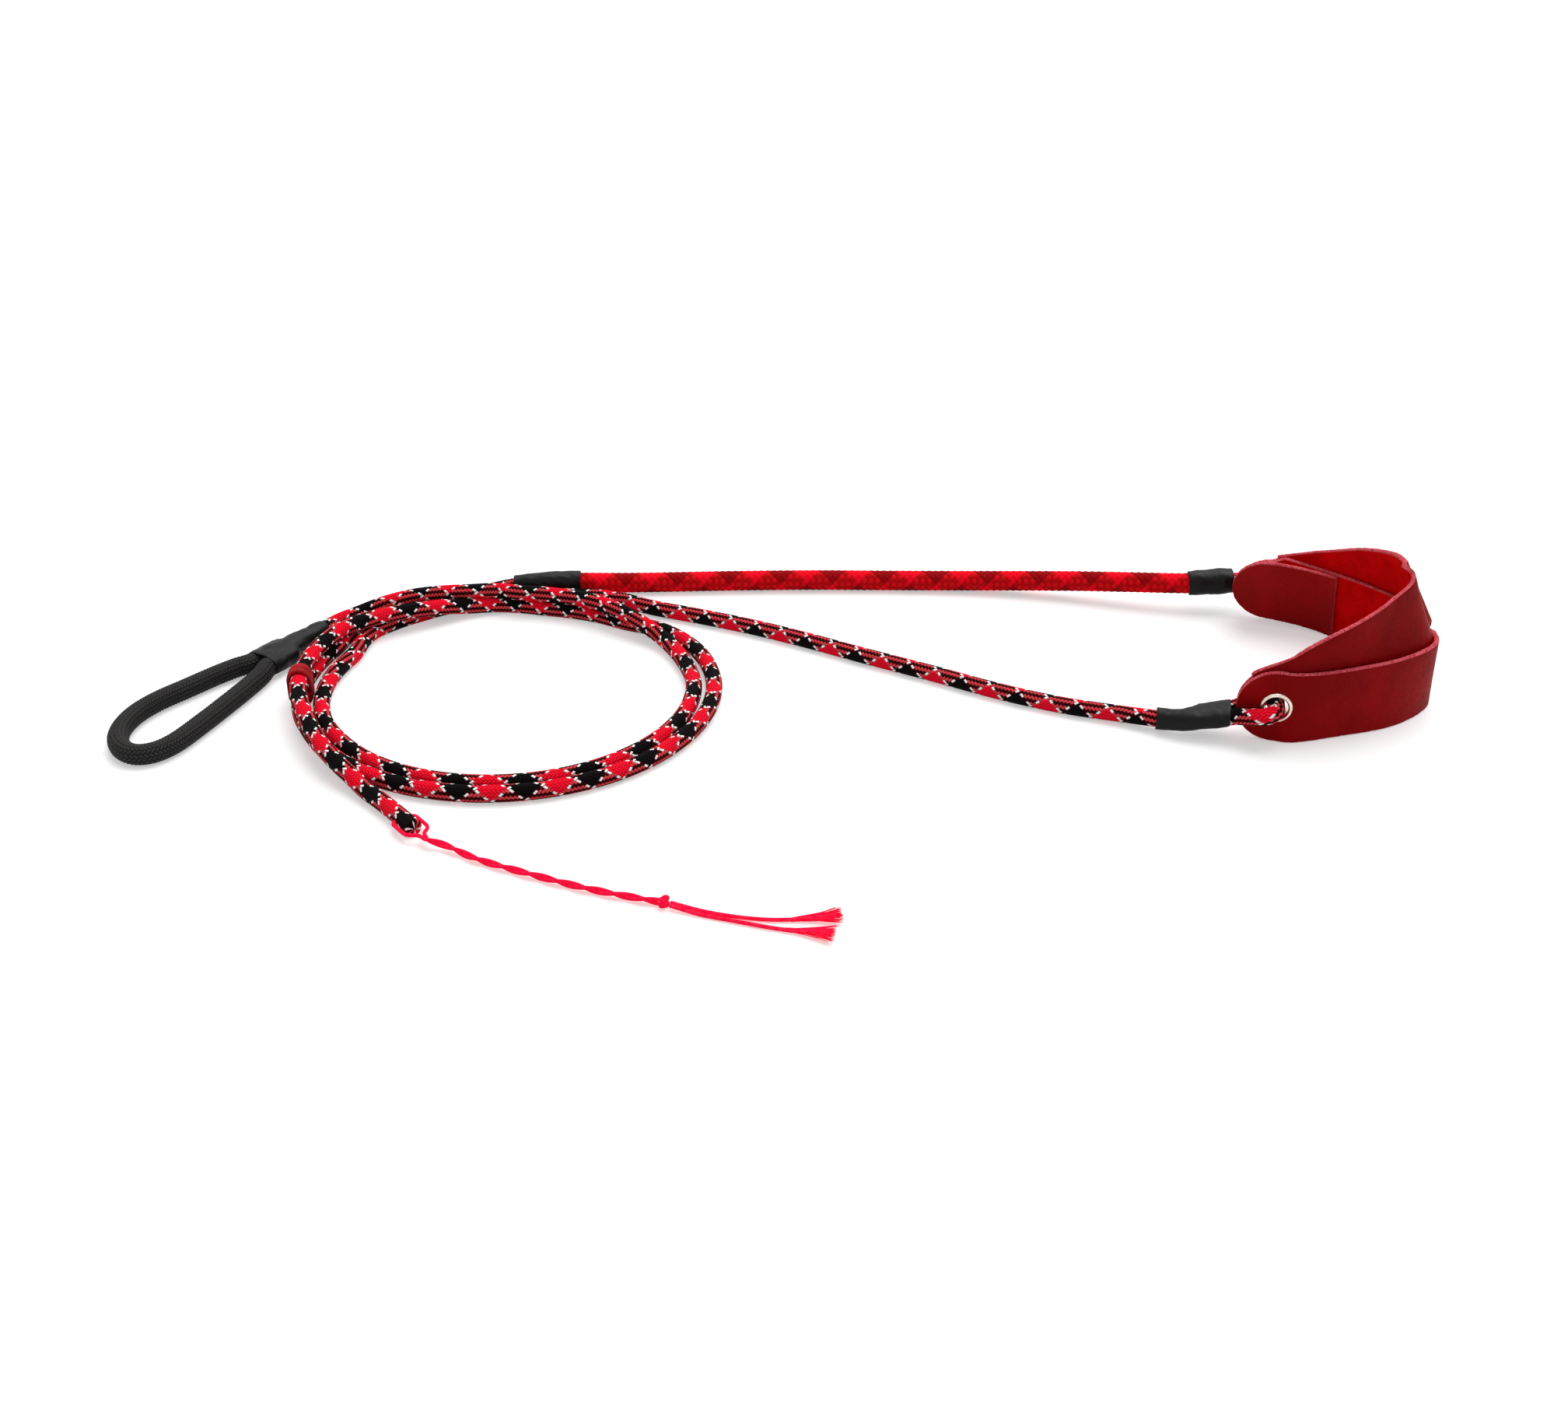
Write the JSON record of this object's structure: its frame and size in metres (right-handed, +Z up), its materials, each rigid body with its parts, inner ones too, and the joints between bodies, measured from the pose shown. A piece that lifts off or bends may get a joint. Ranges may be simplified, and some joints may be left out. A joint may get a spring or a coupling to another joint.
{
  "type": "shepherd's sling",
  "caption": "Shepherd's sling of braided cord with a split leather pouch, a rope finger loop and a twisted cracker, coiled on a table.",
  "frame": {"origin": "on the table under the middle of the finger loop and pouch taken together", "axes": "+X from the finger loop to the bend of the pouch, +Z up from the table, +Y away from the cracker"},
  "size_m": [0.313, 0.1653, 0.0356],
  "materials": {
    "cord": "braided, patterned",
    "cover": "braided",
    "black_rope": "braided",
    "sleeve": "satin",
    "leather": "smooth grain outside, suede inside",
    "eyelet": "polished, warm nickel",
    "lace": "matt",
    "thread": "twisted, soft"
  },
  "bodies": {
    "arms": {"finger_loop": "black_rope", "loop_sleeve": "sleeve", "retention_lead": "cord", "retention_coil": "cord", "taper_sleeve": "sleeve", "retention_run": "cord", "red_cover": "cover", "far_sleeve": "sleeve", "far_stopper": "cord", "near_loop": "cord", "near_sleeve": "sleeve", "release_run": "cord", "release_coil": "cord", "release_tail": "cord"},
    "pouch": {"far_eyelet": "eyelet", "far_washer": "eyelet", "lower_strap": "leather", "upper_strap": "leather", "cover_tab": "leather", "near_eyelet": "eyelet", "near_washer": "eyelet"},
    "keeper": {"keeper_ring": "lace"},
    "cracker": {"cracker_loop": "thread", "cracker_twist": "thread", "cracker_knot": "thread", "tassel_left": "thread", "tassel_right": "thread"}
  },
  "joints": [
    {"name": "pouch_swing", "type": "hinge", "parent": "arms", "child": "pouch", "pos_m": [0.1138, -0.0263, 0.009], "axis": [-0.1774, -0.9841, 0], "range_deg": [0, 60]},
    {"name": "keeper_slide", "type": "hinge", "parent": "arms", "child": "keeper", "pos_m": [-0.0663, -0.0047, 0], "axis": [0, 0, 1], "range_deg": [-24, 9]},
    {"name": "cracker_swing", "type": "hinge", "parent": "arms", "child": "cracker", "pos_m": [-0.08226, -0.0645, 0.0016], "axis": [-0.7826, -0.6225, 0], "range_deg": [0, 100]}
  ]
}
